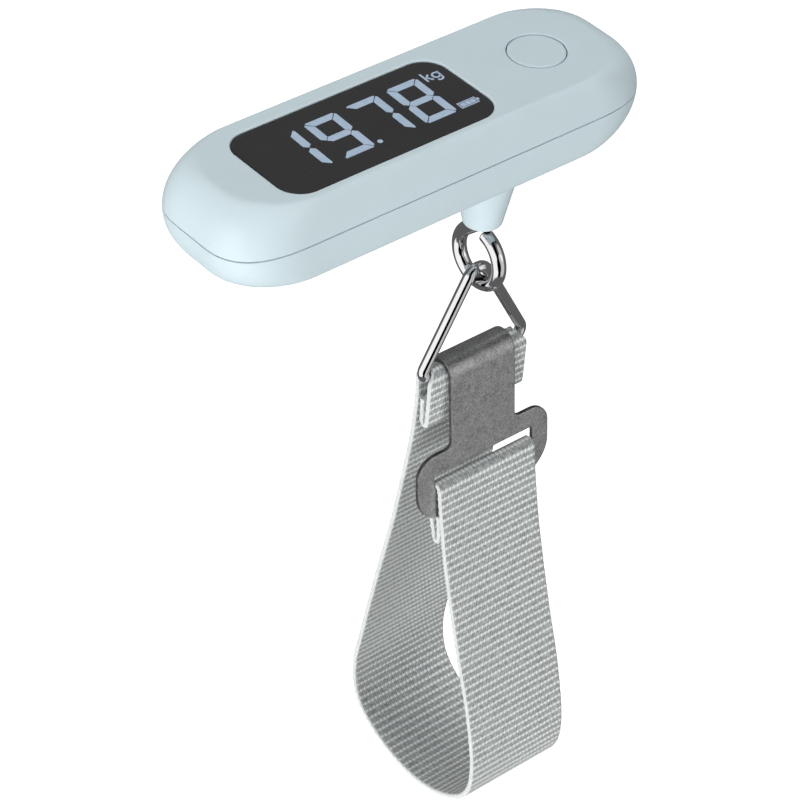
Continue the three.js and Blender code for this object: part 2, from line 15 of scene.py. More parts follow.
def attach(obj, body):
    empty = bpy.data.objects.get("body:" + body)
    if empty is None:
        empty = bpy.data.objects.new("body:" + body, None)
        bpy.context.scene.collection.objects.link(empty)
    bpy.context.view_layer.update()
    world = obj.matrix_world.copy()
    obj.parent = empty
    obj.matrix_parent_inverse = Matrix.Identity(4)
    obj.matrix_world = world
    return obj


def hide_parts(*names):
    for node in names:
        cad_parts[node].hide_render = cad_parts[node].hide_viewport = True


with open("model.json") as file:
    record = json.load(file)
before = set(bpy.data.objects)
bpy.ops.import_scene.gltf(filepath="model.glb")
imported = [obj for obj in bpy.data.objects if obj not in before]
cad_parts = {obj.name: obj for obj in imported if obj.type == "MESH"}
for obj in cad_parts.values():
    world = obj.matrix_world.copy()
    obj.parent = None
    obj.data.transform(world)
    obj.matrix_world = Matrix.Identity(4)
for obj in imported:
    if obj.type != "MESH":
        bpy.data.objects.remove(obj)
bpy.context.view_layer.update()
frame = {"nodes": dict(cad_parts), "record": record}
MM = 0.001

# ---- camera ---------------------------------------------------------------------------------
CAMERA_AZIMUTH = -41.044
CAMERA_ELEVATION = 39.214
CAMERA_ROLL = 3.056
CAMERA_PLACE = (-0.33728, -0.36619, 0.32469)
CAMERA_LENS = 142.25

# ---- casing ---------------------------------------------------------------------------------
CASE_X = -20.23
TOP_HEIGHT = 8.92
BOTTOM_HEIGHT = 8.62
CASE_DEPTH = TOP_HEIGHT + BOTTOM_HEIGHT
WALL = 1.6
PARTING_GAP = 0.2
OUTER_STEPS = 26
INNER_STEPS = 12
PARTING = dict(length=49.9, width=15.25, corner_x=17.05, corner_y=11.89, power=2.74)
FLAT_TOP = dict(length=43.75, width=13.31, corner_x=11.99, corner_y=11.64, power=1.8)
UNDERSIDE = dict(length=44.63, width=13.71, corner_x=13.0, corner_y=13.71, power=1.94)
WINDOW = dict(x=-31.52, y=-0.88, length=48.8, width=22.0, radius=5.0, thickness=1.0, sink=0.25)
BUTTON = dict(x=10.45, y=-0.6, radius=5.7, gap=0.16)
COIN_X = -49.5
CAP_RADIUS = 11.4
CASE_SCREWS = [(-62.5, 6.0), (-62.5, -6.0), (19.5, 6.5), (19.5, -6.5)]
CELL_SCREWS = [(-32.5, 0.0), (-26.5, 0.0)]

# ---- hook, link, plate ------------------------------------------------------------------------
STEM_X = 0.25
STEM_RIM_Z = -35.64
STEM_RIM_RADIUS = 4.0
STEM_SLOPE = 0.205
SHANK_RADIUS = 1.5
EYE_Z = -43.9
EYE_RADIUS = 6.0
EYE_OPEN_ANGLE = 12
EYE_NECK_ANGLE = 42
LINK_APEX_Z = -43.95
BAR_Z = -69.41
LINK_HALF_WIDTH = 14.22
LINK_WIRE = 1.2
WIRE_END_ROUNDING = 0.2
PLATE_THICKNESS = 1.05
PLATE_NECK = 8.4
PLATE_CURL = 3.65
PLATE_TILT = 0.098
PLATE_TAIL = 2.6
PLATE_MARGIN = 0.6
SLOT_Z = -91.9
SLOT_WIDTH = 26.1
SLOT_HEIGHT = 3.6

# ---- strap ------------------------------------------------------------------------------------
STRAP_HALF_WIDTH = 12.5
STRAP_THICKNESS = 1.15
WRAP_RADIUS = 1.87
WRAP_SQUEEZE = 1.75
RIB_PITCH = 1.71
BEAD_PITCH = 1.01
BAND_RELIEF = 0.12
ROWS_PER_RIB = 8

# ---- colour and light ---------------------------------------------------------------------------
MINT = (0.60, 0.715, 0.755)
FLOOR_DROP = 1.3
SKY_LEVEL = 0.338
ROOM_LEVEL = 0.165
# Name, place and size in metres, and power in watts; every lamp aims at the object.
LAMPS = [
    ("key_left", (-0.9, -0.2, 0.1), 0.6, 6.64),
    ("top_soft", (0.1, 0.3, 0.9), 0.7, 4.53),
    ("front_fill", (0.3, -0.95, 0.2), 0.6, 4.14),
    ("low_left", (-0.5, -0.35, -0.7), 0.6, 3.88),
]


# ==== small tools ================================================================================
def rotation_of_camera():
    a = math.radians(CAMERA_AZIMUTH)
    e = math.radians(CAMERA_ELEVATION)
    r = math.radians(CAMERA_ROLL)
    back = Vector((math.sin(a) * math.cos(e), -math.cos(a) * math.cos(e), math.sin(e)))
    right = Vector((math.cos(a), math.sin(a), 0.0))
    up = back.cross(right)
    right, up = right * math.cos(r) + up * math.sin(r), up * math.cos(r) - right * math.sin(r)
    return Matrix((right, up, back)).transposed()


def make_camera():
    data = bpy.data.cameras.new("camera")
    data.lens = CAMERA_LENS
    data.sensor_width = 36.0
    data.clip_start = 0.01
    data.clip_end = 50.0
    camera = bpy.data.objects.new("camera", data)
    camera.matrix_world = Matrix.Translation(CAMERA_PLACE) @ rotation_of_camera().to_4x4()
    bpy.context.scene.collection.objects.link(camera)
    bpy.context.scene.camera = camera


class Skin:
    """Builds a mesh out of rings of points, in millimetres, and the faces between them."""

    def __init__(self):
        self.bm = bmesh.new()

    def ring(self, points):
        return [self.bm.verts.new(Vector(p) * MM) for p in points]

    def bridge(self, first, second, closed=True):
        count = len(first)
        for i in range(count if closed else count - 1):
            j = (i + 1) % count
            self.bm.faces.new((first[i], first[j], second[j], second[i]))

    def stack(self, rings):
        made = [self.ring(points) for points in rings]
        for first, second in zip(made, made[1:]):
            self.bridge(first, second)
        return made

    def cap(self, ring):
        self.bm.faces.new(ring)

    def fill(self, *rings):
        """Fills the flat region inside the first ring and outside the others."""
        edges = []
        for ring in rings:
            for i, vertex in enumerate(ring):
                pair = (vertex, ring[(i + 1) % len(ring)])
                edges.append(self.bm.edges.get(pair) or self.bm.edges.new(pair))
        bmesh.ops.triangle_fill(self.bm, use_beauty=True, edges=edges)

    def done(self, name, sharp=32):
        bmesh.ops.remove_doubles(self.bm, verts=self.bm.verts, dist=1e-7)
        bmesh.ops.recalc_face_normals(self.bm, faces=self.bm.faces)
        mesh = bpy.data.meshes.new(name)
        self.bm.to_mesh(mesh)
        self.bm.free()
        return add_piece(name, mesh, sharp)


def add_piece(name, mesh, sharp=32):
    mesh.polygons.foreach_set("use_smooth", [True] * len(mesh.polygons))
    if sharp:
        mesh.set_sharp_from_angle(angle=math.radians(sharp))
    piece = bpy.data.objects.new(name, mesh)
    bpy.context.scene.collection.objects.link(piece)
    return piece


def flatten_normals(piece):
    """Large flat faces keep flat shading next to small rounded edges."""
    weights = piece.modifiers.new("flat_faces", "WEIGHTED_NORMAL")
    weights.weight = 50
    weights.keep_sharp = True


def round_edges(piece):
    bevel = piece.modifiers.new("rounded_edges", "BEVEL")
    bevel.width = 0.24 * MM
    bevel.segments = 3
    bevel.limit_method = "ANGLE"
    bevel.angle_limit = math.radians(50)
    bevel.use_clamp_overlap = False


def settle(piece, body, nodes, look):
    piece.data.materials.clear()
    piece.data.materials.append(look)
    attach(piece, body)
    if nodes:
        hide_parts(*nodes)


def circle(x, y, radius, z, count=64):
    angles = [2 * math.pi * i / count for i in range(count)]
    return [(x + radius * math.cos(angle), y + radius * math.sin(angle), z) for angle in angles]


def arc(x, y, radius, start, end, count):
    """Points on a flat arc; the angles are degrees."""
    angles = [math.radians(start + (end - start) * i / count) for i in range(count + 1)]
    return [(x + radius * math.cos(angle), y + radius * math.sin(angle)) for angle in angles]


def rounded_rectangle(x, y, length, width, radius, z, count=16):
    """A flat ring, counter-clockwise, with count + 1 points on each corner."""
    a, b = length / 2 - radius, width / 2 - radius
    points = []
    for quarter, (cx, cy) in enumerate([(a, b), (-a, b), (-a, -b), (a, -b)]):
        for i in range(count + 1):
            angle = math.pi / 2 * (quarter + i / count)
            points.append((x + cx + radius * math.cos(angle), y + cy + radius * math.sin(angle), z))
    return points


def outline(shape, inset=0.0, count=26):
    """The casing's outline: straight sides joined by superelliptic corners."""
    corner = []
    for i in range(count):
        angle = math.pi / 2 * i / (count - 1)
        across = max(0.0, math.cos(angle)) ** (2 / shape["power"])
        along = max(0.0, math.sin(angle)) ** (2 / shape["power"])
        corner.append((
            shape["length"] - inset - (shape["corner_x"] - inset) * (1 - across),
            shape["width"] - inset - (shape["corner_y"] - inset) * (1 - along),
        ))
    back = corner[::-1]
    return (
        corner
        + [(-x, y) for x, y in back[1:]]
        + [(-x, -y) for x, y in corner[1:]]
        + [(x, -y) for x, y in back[1:]]
    )


def mixed_outline(first, second, share, inset, z):
    a, b = outline(first, inset), outline(second, inset)
    return [
        (CASE_X + x + (u - x) * share, y + (v - y) * share, z)
        for (x, y), (u, v) in zip(a, b)
    ]


# ==== casing =====================================================================================
def shell_rings(flat, height, sign, rim, step, tongue):
    """Rings of one half of the casing: outer skin from the flat face to the rim, lip, inner skin back.

    sign is +1 for the upper half and -1 for the lower one; heights are measured from the parting
    plane, and the rim is where this half stops. The tongue is where the lip's inner part stops.
    """
    def ring(share, inset, level):
        return mixed_outline(flat, PARTING, share, inset, -TOP_HEIGHT + sign * level)

    def skin_ring(angle, thick):
        return ring(math.sin(angle), thick, (height - thick) * math.cos(angle))

    outer_end = math.acos((rim + 0.14) / height)
    inner_end = math.acos(max(tongue, 0.0) / (height - WALL))
    rings = [skin_ring(outer_end * i / OUTER_STEPS, 0.0) for i in range(OUTER_STEPS + 1)]
    rings += [ring(1.0, 0.02, rim + 0.06), ring(1.0, 0.10, rim)]
    rings += [ring(1.0, step, rim), ring(1.0, step, tongue), ring(1.0, WALL, tongue)]
    rings += [skin_ring(inner_end * i / INNER_STEPS, WALL) for i in range(INNER_STEPS, -1, -1)]
    return rings


def hole_rings(ring_at, profile):
    return [ring_at(offset, z) for offset, z in profile]


def upper_shell():
    skin = Skin()
    body = skin.stack(shell_rings(FLAT_TOP, TOP_HEIGHT, 1, PARTING_GAP / 2, 0.75, 1.1))

    def window_ring(offset, z):
        return rounded_rectangle(
            WINDOW["x"], WINDOW["y"], WINDOW["length"] + 2 * offset, WINDOW["width"] + 2 * offset,
            WINDOW["radius"] + offset, z)

    def button_ring(offset, z):
        return circle(BUTTON["x"], BUTTON["y"], BUTTON["radius"] + offset, z, 96)

    window = skin.stack(hole_rings(window_ring, [
        (0.62, 0), (0.50, 0), (0.36, -0.03), (0.24, -0.10), (0.17, -0.20), (0.14, -0.32),
        (0.14, -1.35), (-1.2, -1.35), (-1.2, -1.6)]))
    gap = BUTTON["gap"]
    button = skin.stack(hole_rings(button_ring, [
        (gap + 0.42, 0), (gap + 0.30, 0), (gap + 0.18, -0.025), (gap + 0.08, -0.08),
        (gap + 0.02, -0.16), (gap, -0.26), (gap, -1.6)]))
    skin.fill(body[0], window[0], button[0])
    skin.fill(body[-1], window[-1], button[-1])
    for x, y in CASE_SCREWS:
        screw_boss(skin, x, y, 2.2, 1.25, -8.6, -1.4)
    piece = skin.done("upper_shell_skin", 38)
    flatten_normals(piece)
    return piece


def screw_boss(skin, x, y, radius, bore, low, high):
    """A post for a screw, open at its low end."""
    rings = skin.stack([
        circle(x, y, radius, high, 24), circle(x, y, radius, low, 24), circle(x, y, bore, low, 24),
        circle(x, y, bore, high - 3, 24)])
    skin.cap(rings[0])
    skin.cap(rings[-1])


def bore_out(piece, places):
    """Cuts stepped screw holes that run off the edge of the flat underside."""
    skin = Skin()
    low = -CASE_DEPTH
    for x, y in places:
        rings = skin.stack([
            circle(x, y, 2.1, low - 1, 32), circle(x, y, 2.1, low + 1.4, 32),
            circle(x, y, 1.3, low + 1.4, 32), circle(x, y, 1.3, low + WALL + 1, 32)])
        skin.cap(rings[0])
        skin.cap(rings[-1])
    cutter = skin.done("cutter", 30)
    cut = piece.modifiers.new("bores", "BOOLEAN")
    cut.operation = "DIFFERENCE"
    cut.solver = "EXACT"
    cut.object = cutter
    bpy.context.view_layer.update()
    evaluated = piece.evaluated_get(bpy.context.evaluated_depsgraph_get())
    mesh = bpy.data.meshes.new_from_object(evaluated)
    piece.modifiers.clear()
    piece.data = mesh
    bpy.data.objects.remove(cutter)


def lower_shell():
    skin = Skin()
    body = skin.stack(shell_rings(UNDERSIDE, BOTTOM_HEIGHT, -1, PARTING_GAP / 2, 0.8, -0.95))
    low = -CASE_DEPTH
    floor = low + WALL
    outside, inside = [body[0]], [body[-1]]

    def opening(x, y, profile, count):
        rings = skin.stack([circle(x, y, r, z, count) for r, z in profile])
        outside.append(rings[0])
        inside.append(rings[-1])

    opening(COIN_X, 0, [
        (12.0, low), (11.85, low), (11.7, low + 0.05), (11.62, low + 0.15), (11.6, low + 0.3),
        (11.6, low + 1.6), (10.4, low + 1.6), (10.4, -11.6), (12.4, -11.6), (12.4, floor)], 96)
    opening(STEM_X, 0, [(6.4, low), (6.4, floor)], 48)
    for x, y in CASE_SCREWS[2:]:
        opening(x, y, [
            (2.4, low), (2.28, low), (2.16, low + 0.05), (2.1, low + 0.16), (2.1, low + 1.4),
            (1.3, low + 1.4), (1.3, -9.3), (2.5, -9.3), (2.5, floor)], 32)
    for x, y in CELL_SCREWS:
        opening(x, y, [
            (2.9, low), (2.78, low), (2.66, low + 0.05), (2.6, low + 0.16), (2.6, low + 1.0),
            (1.4, low + 1.0), (1.4, floor)], 32)
    skin.fill(*outside)
    skin.fill(*inside)
    piece = skin.done("lower_shell_skin", 38)
    bore_out(piece, CASE_SCREWS[:2])
    flatten_normals(piece)
    return piece


def stem():
    """A hollow cone that hangs by a flange inside the casing; its section is points of (radius, z)."""
    low = -CASE_DEPTH
    floor = low + WALL
    rim = STEM_RIM_RADIUS
    root = rim + STEM_SLOPE * (low - STEM_RIM_Z)
    z = STEM_RIM_Z
    mouth = [(3.0, z + 3.0), (2.7, z + 0.25), (2.85, z + 0.05), (3.0, z), (rim - 0.75, z)]
    rounded_rim = [
        (rim - 0.45, z + 0.04), (rim - 0.2, z + 0.15), (rim - 0.05, z + 0.34), (rim + 0.06, z + 0.6)]
    cone = [(rim + 0.4, z + 2.3), (rim + 1.2, z + 6.2), (rim + 2.4, z + 12.0)]
    fillet = [
        (root - 0.25, low - 1.35), (root - 0.05, low - 0.7), (root + 0.25, low - 0.28),
        (root + 0.6, low - 0.08), (root + 0.6, low - 0.01)]
    flange = [
        (6.2, low - 0.01), (6.2, floor + 0.15), (8.6, floor + 0.15), (8.6, floor + 1.15),
        (4.4, floor + 1.15), (4.2, low)]
    skin = Skin()
    section = mouth + rounded_rim + cone + fillet + flange
    rings = skin.stack([circle(STEM_X, 0, r, h, 96) for r, h in section])
    skin.bridge(rings[-1], rings[0])
    return skin.done("stem_cone", 40)


def display_window():
    skin = Skin()
    x, y, radius = WINDOW["x"], WINDOW["y"], WINDOW["radius"]
    top = -WINDOW["sink"]

    def ring(offset, z):
        return rounded_rectangle(x, y, WINDOW["length"] + 2 * offset, WINDOW["width"] + 2 * offset,
                                 radius + offset, z)

    rings = skin.stack([
        ring(-0.4, top), ring(-0.16, top), ring(-0.05, top - 0.04), ring(0, top - 0.16),
        ring(0, top - WINDOW["thickness"])])
    skin.cap(rings[0])
    skin.cap(rings[-1])
    piece = skin.done("display_cover", 38)
    flatten_normals(piece)
    return piece


def power_button():
    """A flat cap with rounded edges, a flange under the casing's top and a nub for the switch."""
    r = BUTTON["radius"]
    section = [
        (0.02, -2.65), (1.8, -2.65), (1.8, -2.4), (r + 0.8, -2.4), (r + 0.8, -1.85), (r, -1.85),
        (r, -0.4), (r - 0.04, -0.24), (r - 0.13, -0.12), (r - 0.26, -0.035), (r - 0.42, 0),
        (r - 0.7, 0), (0.02, 0)]
    skin = Skin()
    rings = skin.stack([circle(BUTTON["x"], BUTTON["y"], radius, z, 96) for radius, z in section])
    skin.cap(rings[0])
    skin.cap(rings[-1])
    piece = skin.done("power_button_cap", 38)
    flatten_normals(piece)
    return piece


def battery_cap():
    low = -CASE_DEPTH
    skin = Skin()
    rings = skin.stack([circle(COIN_X, 0, r, z, 96) for r, z in [
        (CAP_RADIUS - 0.45, low), (CAP_RADIUS - 0.3, low), (CAP_RADIUS - 0.12, low + 0.04),
        (CAP_RADIUS, low + 0.18), (CAP_RADIUS, low + 1.4)]])
    slot = skin.stack([
        rounded_rectangle(COIN_X, 0, 13 + 2 * o, 1.8 + 2 * o, 0.85 + o, z, 8)
        for o, z in [(0.25, low), (0.15, low), (0.03, low + 0.05), (0, low + 0.16), (0, low + 0.8)]])
    skin.fill(rings[0], slot[0])
    skin.cap(rings[-1])
    skin.cap(slot[-1])
    piece = skin.done("battery_cap_disc", 38)
    flatten_normals(piece)
    return piece


# ==== display digits =============================================================================
DIGIT_HEIGHT = 13.0
DIGIT_WIDTH = 7.35
DIGIT_STROKE = 1.65
DIGIT_GAP = 0.2
DIGIT_CORNER = 0.26
DIGIT_STEP = 9.62
DIGIT_SLANT = 0.035
DIGIT_RAISE = 0.2
FIRST_DIGIT_X = -18.75
READING = "1978"
LIT = {"1": "bc", "7": "abc", "8": "abcdefg", "9": "abcdfg"}
DECIMAL_DOT = dict(x=-0.4, y=-5.55, radius=0.54)
BATTERY_ICON = dict(x=18.5, y=-6.25, length=4.2, height=1.9, line=0.24)
UNIT_SIGN = dict(x=18.5, y=4.3, scale=0.84)
LIT_TOP = -WINDOW["sink"] + 0.03
LIT_THICKNESS = 0.1


def segment(letter):
    """Corner points of one of the seven bars of a digit, from the digit's lower left corner."""
    w, h, t, g = DIGIT_WIDTH, DIGIT_HEIGHT, DIGIT_STROKE, DIGIT_GAP / 2
    middle, half, corner = h / 2, t / 2, DIGIT_CORNER
    cut = corner * 2.2 + g
    tip = corner + g * 1.4
    flat = [(tip, h - corner), (cut, h), (w - cut, h), (w - tip, h - corner), (w - t - g, h - t),
            (t + g, h - t)]
    side = [(w, h - cut), (w - corner, h - tip), (w - t, h - t - g), (w - t, middle + half + g),
            (w - half, middle + g), (w, middle + half * 0.9 + g)]
    centre = [(half + g, middle), (t + g * 0.7, middle + half), (w - t - g * 0.7, middle + half),
              (w - half - g, middle), (w - t - g * 0.7, middle - half), (t + g * 0.7, middle - half)]
    return {
        "a": flat,
        "b": side,
        "c": [(x, h - y) for x, y in side],
        "d": [(x, h - y) for x, y in flat],
        "e": [(w - x, h - y) for x, y in side],
        "f": [(w - x, y) for x, y in side],
        "g": centre,
    }[letter]


def lit_slab(skin, points):
    """A thin lit shape on the display; the points are relative to the display's middle."""
    flat = [(WINDOW["x"] + x + DIGIT_SLANT * y, WINDOW["y"] + y) for x, y in points]
    top = skin.ring([(x, y, LIT_TOP) for x, y in flat])
    low = skin.ring([(x, y, LIT_TOP - LIT_THICKNESS) for x, y in flat])
    skin.bridge(top, low)
    skin.cap(top)
    skin.cap(low)


def display_digits():
    skin = Skin()
    drop = DIGIT_HEIGHT / 2 - DIGIT_RAISE
    for place, digit in enumerate(READING):
        left = FIRST_DIGIT_X + place * DIGIT_STEP
        for letter in LIT[digit]:
            lit_slab(skin, [(left + x, y - drop) for x, y in segment(letter)])
    dot = circle(DECIMAL_DOT["x"], DECIMAL_DOT["y"], DECIMAL_DOT["radius"], 0.0, 24)
    lit_slab(skin, [(x, y) for x, y, _ in dot])
    return skin.done("display_digits", 30)


def battery_icon():
    """A small battery: an outline, its nub and three bars."""
    skin = Skin()
    x0, y0, length, height, line = BATTERY_ICON.values()

    def bar(x, y, w, h):
        lit_slab(skin, [(x, y), (x + w, y), (x + w, y + h), (x, y + h)])

    bar(x0, y0, length, line)
    bar(x0, y0 + height - line, length, line)
    bar(x0, y0 + line + 0.01, line, height - 2 * line - 0.02)
    bar(x0 + length - line, y0 + line + 0.01, line, height - 2 * line - 0.02)
    bar(x0 + length + 0.05, y0 + 0.6, 0.4, height - 1.2)
    for k in range(3):
        bar(x0 + 0.38 + k * 1.17, y0 + 0.37, 1.08, height - 0.74)
    return skin.done("battery_icon", 30)


def unit_sign():
    """The letters kg, built as flat ribbons along short strokes and arcs."""
    skin = Skin()
    x0, y0, scale = UNIT_SIGN.values()
    half = 0.25

    def ribbon(points):
        left, right = [], []
        for i, (x, y) in enumerate(points):
            ax, ay = points[max(0, i - 1)]
            bx, by = points[min(len(points) - 1, i + 1)]
            size = math.hypot(bx - ax, by - ay)
            nx, ny = -(by - ay) / size, (bx - ax) / size
            left.append((x + nx * half, y + ny * half))
            right.append((x - nx * half, y - ny * half))
        loop = left + right[::-1]
        lit_slab(skin, [(x0 + scale * x, y0 + scale * y) for x, y in loop[::-1]])

    ribbon([(0.3, 0.0), (0.3, 3.4)])
    ribbon([(1.75, 2.3), (0.55, 1.12)])
    ribbon([(0.85, 1.3), (1.85, 0.0)])
    ribbon(arc(3.35, 1.18, 0.92, 30, 330, 20))
    ribbon([(4.25, 2.3), (4.25, 0.1)])
    ribbon(arc(3.4, 0.0, 0.85, 0, -150, 14))
    return skin.done("unit_sign", 30)


# ==== wire parts =================================================================================
def swept(name, path, radius, place, sides, closed=False):
    """Round wire along a flat path of (a, b) points.

    place(a, b, off) gives the point in space, with off the distance out of the path's plane.
    """
    count = len(path)
    edge = WIRE_END_ROUNDING
    skin = Skin()
    rings = []

    def ring(i, shrink=0.0, slide=0.0):
        if closed:
            before, after = path[i - 1], path[(i + 1) % count]
        else:
            before, after = path[max(0, i - 1)], path[min(count - 1, i + 1)]
        size = math.hypot(after[0] - before[0], after[1] - before[1])
        ta, tb = (after[0] - before[0]) / size, (after[1] - before[1]) / size
        a, b = path[i][0] + ta * slide, path[i][1] + tb * slide
        points = []
        for k in range(sides):
            angle = 2 * math.pi * k / sides
            across = (radius - shrink) * math.cos(angle)
            points.append(place(a - tb * across, b + ta * across, (radius - shrink) * math.sin(angle)))
        return skin.ring(points)

    if closed:
        rings += [ring(i) for i in range(count)]
    else:
        last = count - 1
        rings += [ring(0, edge), ring(0, edge * 0.3, edge * 0.3), ring(0, 0.0, edge)]
        rings += [ring(i) for i in range(1, last)]
        rings += [ring(last, 0.0, -edge), ring(last, edge * 0.3, -edge * 0.3), ring(last, edge)]
    for first, second in zip(rings, rings[1:]):
        skin.bridge(first, second)
    if closed:
        skin.bridge(rings[-1], rings[0])
    else:
        skin.cap(rings[0])
        skin.cap(rings[-1])
    return skin.done(name, 50)


def eye_hook():
    """An open ring in the YZ plane, bent into a straight shank that runs up into the casing."""
    first = 360 - EYE_OPEN_ANGLE
    path = []
    for i in range(97):
        angle = math.radians(first - (first - EYE_NECK_ANGLE) * i / 96)
        path.append((EYE_RADIUS * math.sin(angle), EYE_Z + EYE_RADIUS * math.cos(angle)))
    y, z = path[-1]
    corner = (0.0, z + y * math.tan(math.radians(EYE_NECK_ANGLE)))
    begin = (y * 0.5, z + (corner[1] - z) * 0.5)
    end = (0.0, corner[1] + 1.6)
    path.append(((y + begin[0]) / 2, (z + begin[1]) / 2))
    for i in range(13):
        t = i / 12
        path.append(tuple(
            (1 - t) ** 2 * a + 2 * t * (1 - t) * b + t * t * c for a, b, c in zip(begin, corner, end)))
    path += [(0.0, h) for h in (-32.0, -24.0, -14.0, -4.6, -4.4)]
    return swept("eye_hook_wire", path, SHANK_RADIUS, lambda a, b, off: (off, a, b), 32)


def triangle_link():
    """A wire triangle in the XZ plane with rounded corners, given as (x, z, radius)."""
    corners = [(0.0, LINK_APEX_Z, 2.64), (LINK_HALF_WIDTH, BAR_Z, 2.1), (-LINK_HALF_WIDTH, BAR_Z, 2.1)]
    path = []
    for i, (x, z, radius) in enumerate(corners):
        here = Vector((x, z))
        a = (Vector(corners[i - 1][:2]) - here).normalized()
        b = (Vector(corners[(i + 1) % 3][:2]) - here).normalized()
        half = math.acos(a.dot(b)) / 2
        centre = here + (a + b).normalized() * (radius / math.sin(half))
        start = here + a * (radius / math.tan(half)) - centre
        first = math.atan2(start.y, start.x)
        turn = math.pi - 2 * half
        for k in range(21):
            angle = first - turn * k / 20
            path.append((centre.x + radius * math.cos(angle), centre.y + radius * math.sin(angle)))
    return swept("triangle_link_wire", path, LINK_WIRE, lambda a, b, off: (a, off, b), 28, closed=True)


# ==== hook plate =================================================================================
def plate_outline(inset):
    """Right half of the plate's flat part, from the neck down and round the lobe, as (x, z)."""
    points = [(PLATE_NECK - inset, -78.0)]
    points += arc(PLATE_NECK + 1.5, -84.0, 1.5 + inset, 180, 270, 10)
    points += arc(12.75, -90.1, 4.6 - inset, 90, 0, 18)
    points += arc(9.85, -94.2, 7.5 - inset, 0, -90, 24)
    return points


def hook_plate():
    """One bent sheet: a short tail behind the link's bar, a curl over it, and a flat front with a slot."""
    radius = PLATE_CURL - PLATE_THICKNESS / 2
    lean = math.atan(PLATE_TILT)
    end_angle = math.pi - lean
    knee = (radius * math.cos(end_angle), BAR_Z + radius * math.sin(end_angle))

    def side(s):
        """Middle line of the plate in the YZ plane: up behind the bar, over it, and down in front."""
        if s < PLATE_TAIL:
            return radius, BAR_Z - PLATE_TAIL + s
        s -= PLATE_TAIL
        if s < radius * end_angle:
            return radius * math.cos(s / radius), BAR_Z + radius * math.sin(s / radius)
        s -= radius * end_angle
        return knee[0] - s * math.sin(lean), knee[1] - s * math.cos(lean)

    def on_front(z):
        return PLATE_TAIL + radius * end_angle + (knee[1] - z) / math.cos(lean)

    skin = Skin()
    inner = PLATE_NECK - PLATE_MARGIN
    columns = [-PLATE_NECK] + [inner * (k / 5 - 1) for k in range(11)] + [PLATE_NECK]
    rows = [0.0] + [0.65 * k for k in range(1, 4)] + [PLATE_TAIL + 0.34 * k for k in range(29)]
    rows += [on_front(z) for z in (-71.5, -74.0)]
    rings = []
    for s in rows:
        y, z = side(s)
        narrowing = 0.5 / PLATE_NECK if s == 0.0 else 0.0
        rings.append(skin.ring([(x * (1 - narrowing), y, z) for x in columns]))
    for first, second in zip(rings, rings[1:]):
        skin.bridge(first, second, closed=False)

    def flat_ring(points):
        return skin.ring([(x, side(on_front(z))[0], z) for x, z in points])

    def around(inset):
        right = plate_outline(inset)
        return flat_ring(right + [(-x, z) for x, z in right[::-1]])

    def slot(grow):
        ring = rounded_rectangle(
            0, SLOT_Z, SLOT_WIDTH + 2 * grow, SLOT_HEIGHT + 2 * grow, 0.6 + grow, 0.0, 6)
        return flat_ring([(x, z) for x, z, _ in ring])

    last = rings[-1]
    outer = [last[-1], *around(0.0), last[0]]
    support = [last[-2], *around(PLATE_MARGIN), last[1]]
    skin.bridge(outer, support, closed=False)
    hole, hole_support = slot(0.0), slot(PLATE_MARGIN)
    skin.bridge(hole, hole_support)
    skin.fill(last[1:-1] + support[1:-1], hole_support)
    piece = skin.done("hook_plate_sheet", 0)
    thick = piece.modifiers.new("thickness", "SOLIDIFY")
    thick.thickness = PLATE_THICKNESS * MM
    thick.offset = 0.0
    # The rim faces take the second material, whose dark colour is a painted shade.
    thick.material_offset_rim = 1
    round_edges(piece)
    flatten_normals(piece)
    return piece


# ==== strap ======================================================================================
def spline(points, per_span=24):
    """Uniform Catmull-Rom curve through the points."""
    first, last = np.array(points[0]), np.array(points[-1])
    p = [2 * first - points[1], *map(np.array, points), 2 * last - points[-2]]
    made = []
    for i in range(1, len(p) - 2):
        for k in range(per_span):
            t = k / per_span
            made.append(0.5 * (
                2 * p[i] + (p[i + 1] - p[i - 1]) * t
                + (2 * p[i - 1] - 5 * p[i] + 4 * p[i + 1] - p[i + 2]) * t * t
                + (3 * p[i] - p[i - 1] - 3 * p[i + 1] + p[i + 2]) * t ** 3))
    made.append(p[-2])
    return np.array(made)


def strap_line():
    """Side view (y, z) of the strap's middle line, from its upper sewn end to its lower one."""
    loop = spline([
        (WRAP_RADIUS, BAR_Z), (1.78, -72.0), (1.75, -75), (2.6, -84.9), (4.6, -97.2), (7.3, -112),
        (11.3, -130), (15.2, -148.8), (17.35, -161.5), (15.2, -170.6), (7.4, -176.2), (-3.2, -178.4),
        (-13.2, -176.2), (-20.8, -170.2), (-22.7, -161.0), (-20.0, -146.5), (-15.3, -131.2),
        (-10.5, -113.5), (-8.4, -103.5), (-7.25, -97.0), (-6.8, -94.3)])
    upper_hem = [(0.1, -74.0), (0.02, -76.5), *arc(-0.82, -79.55, 0.78, 0, -180, 16),
                 (-1.7, -77.0), (-1.82, -73.0)]
    over_bar = arc(0, BAR_Z, WRAP_RADIUS, 180, 0, 30)
    through_slot = arc(-5.6, -94.25, 1.2, 180, 0, 24)
    down_inside = spline([(-4.38, -94.8), (-4.6, -98.0), (-5.0, -102.4), (-5.75, -105.6)])
    lower_hem = [*arc(-6.68, -106.5, 0.78, 10, -170, 16), (-7.4, -105.0), (-6.8, -100.6)]
    line = np.concatenate([upper_hem, over_bar, loop[2:-1], through_slot, down_inside, lower_hem])
    steps = np.hypot(*np.diff(line, axis=0).T)
    keep = np.concatenate([[True], steps > 1e-6])
    return line[keep]


